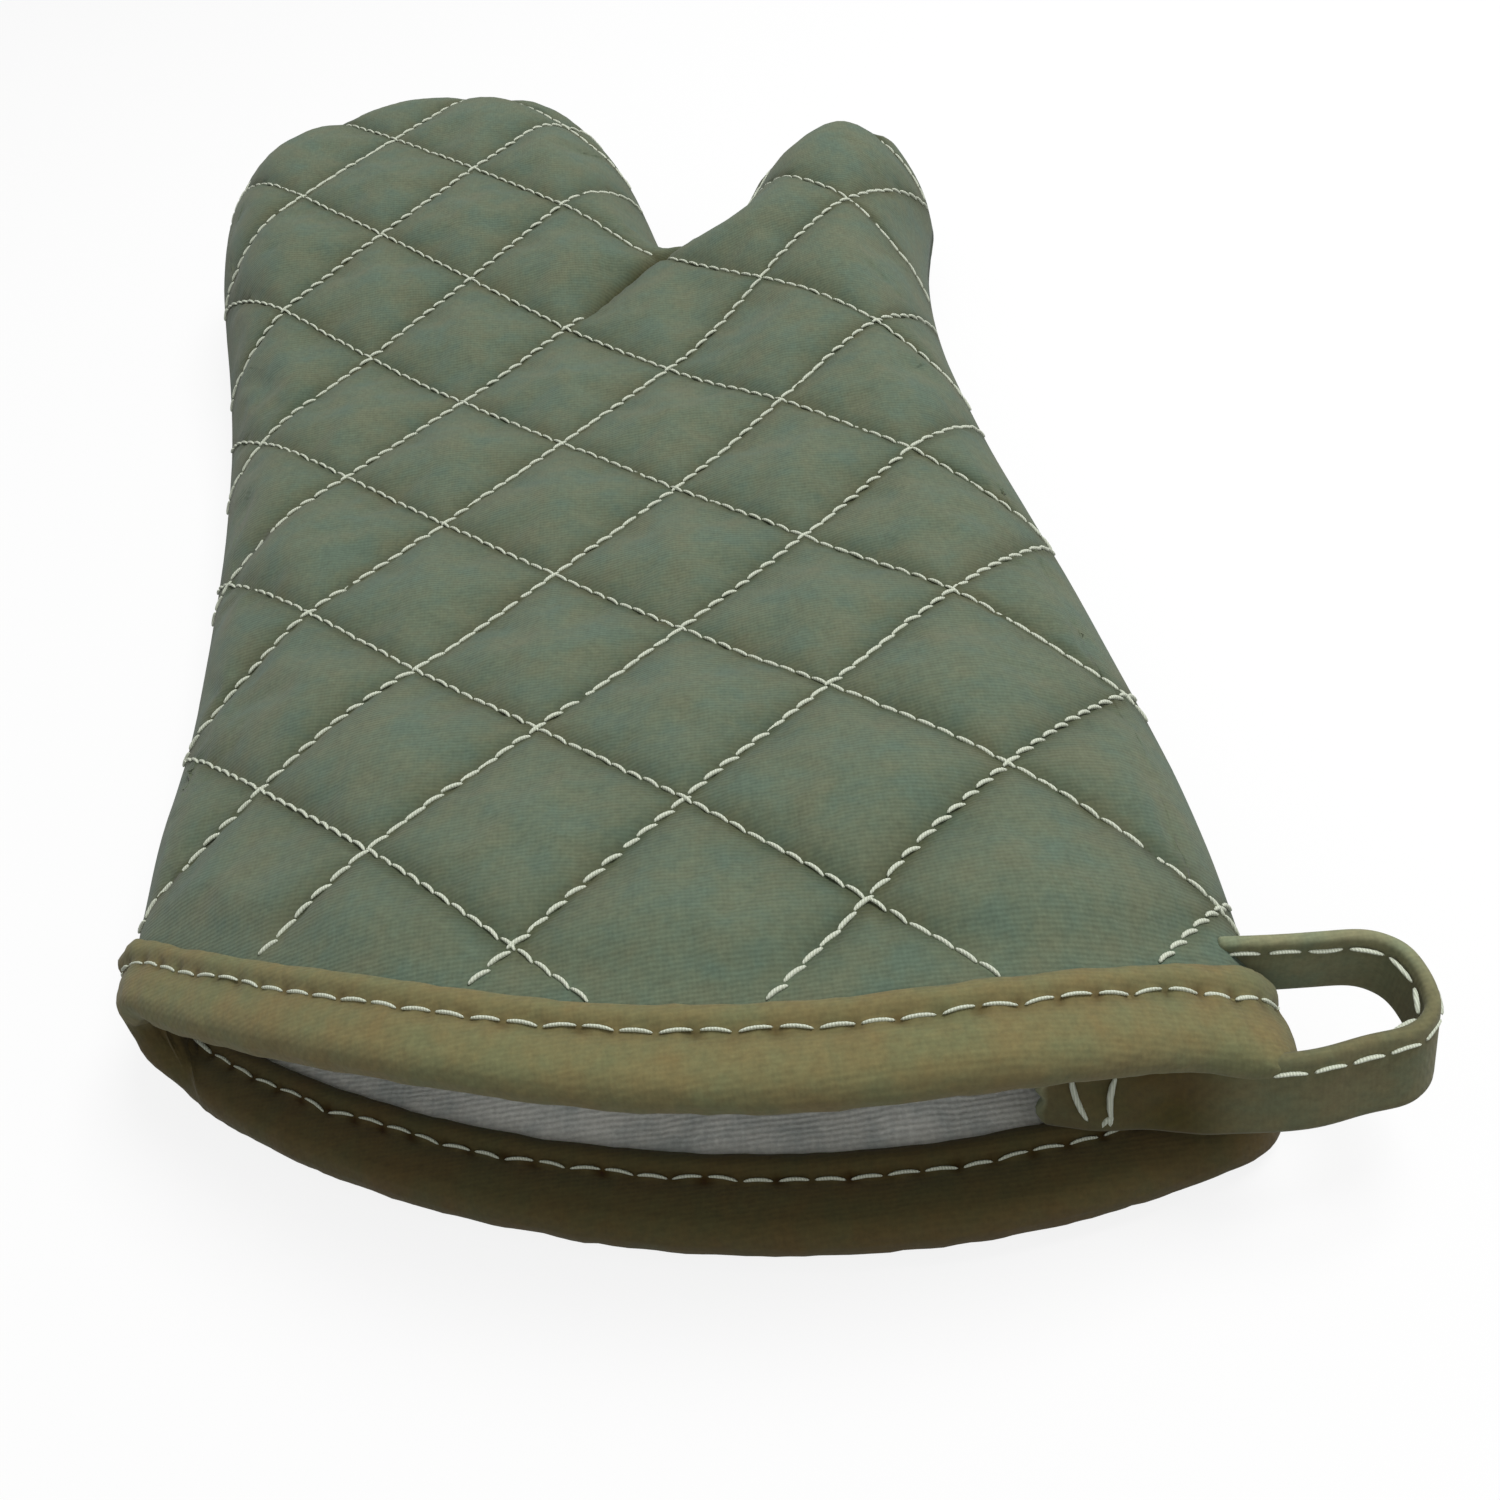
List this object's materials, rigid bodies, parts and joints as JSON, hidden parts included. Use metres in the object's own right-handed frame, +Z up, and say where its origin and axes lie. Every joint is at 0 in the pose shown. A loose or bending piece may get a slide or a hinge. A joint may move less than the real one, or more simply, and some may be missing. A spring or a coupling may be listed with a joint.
{
  "type": "quilted oven mitt with thumb and hanging loop",
  "caption": "Padded fabric mitt that shields a hand and wrist from hot cookware, with a bound cuff and a tape loop to hang it by.",
  "frame": {"origin": "on the table, on the flat of the palm diamond under the middle of the mitt", "axes": "+Y from the cuff to the fingertips, +X towards the thumb side, +Z up from the palm to the back of the hand"},
  "size_m": [0.2492, 0.4052, 0.0529],
  "materials": {
    "shell_canvas": "grey-green woven cotton canvas, matt",
    "wadding_felt": "white needled wadding",
    "lining_cotton": "white brushed cotton",
    "binding_tape": "khaki woven cotton tape, matt",
    "stitching_thread": "pale spun polyester thread"
  },
  "bodies": {
    "mitt": {"back_shell": "shell_canvas", "back_wadding": "wadding_felt", "back_lining": "lining_cotton", "back_quilting_thread": "stitching_thread", "palm_shell": "shell_canvas", "palm_wadding": "wadding_felt", "palm_lining": "lining_cotton", "palm_quilting_thread": "stitching_thread", "side_seam_thread": "stitching_thread", "cuff_binding": "binding_tape", "binding_topstitch_outside": "stitching_thread", "binding_topstitch_inside": "stitching_thread", "loop_end_at_seam": "binding_tape", "loop_end_in_mouth": "binding_tape", "loop_tack_1": "stitching_thread", "loop_tack_2": "stitching_thread"},
    "hanging_loop": {"hanging_loop": "binding_tape", "loop_stitch_outside": "stitching_thread", "loop_stitch_inside": "stitching_thread"}
  },
  "joints": [
    {"name": "loop_swing", "type": "hinge", "parent": "mitt", "child": "hanging_loop", "pos_m": [0.12058, -0.17747, 0.0245], "axis": [0, -1, 0], "range_deg": [-75, 75], "stiffness_Nm_per_rad": 0.004}
  ]
}
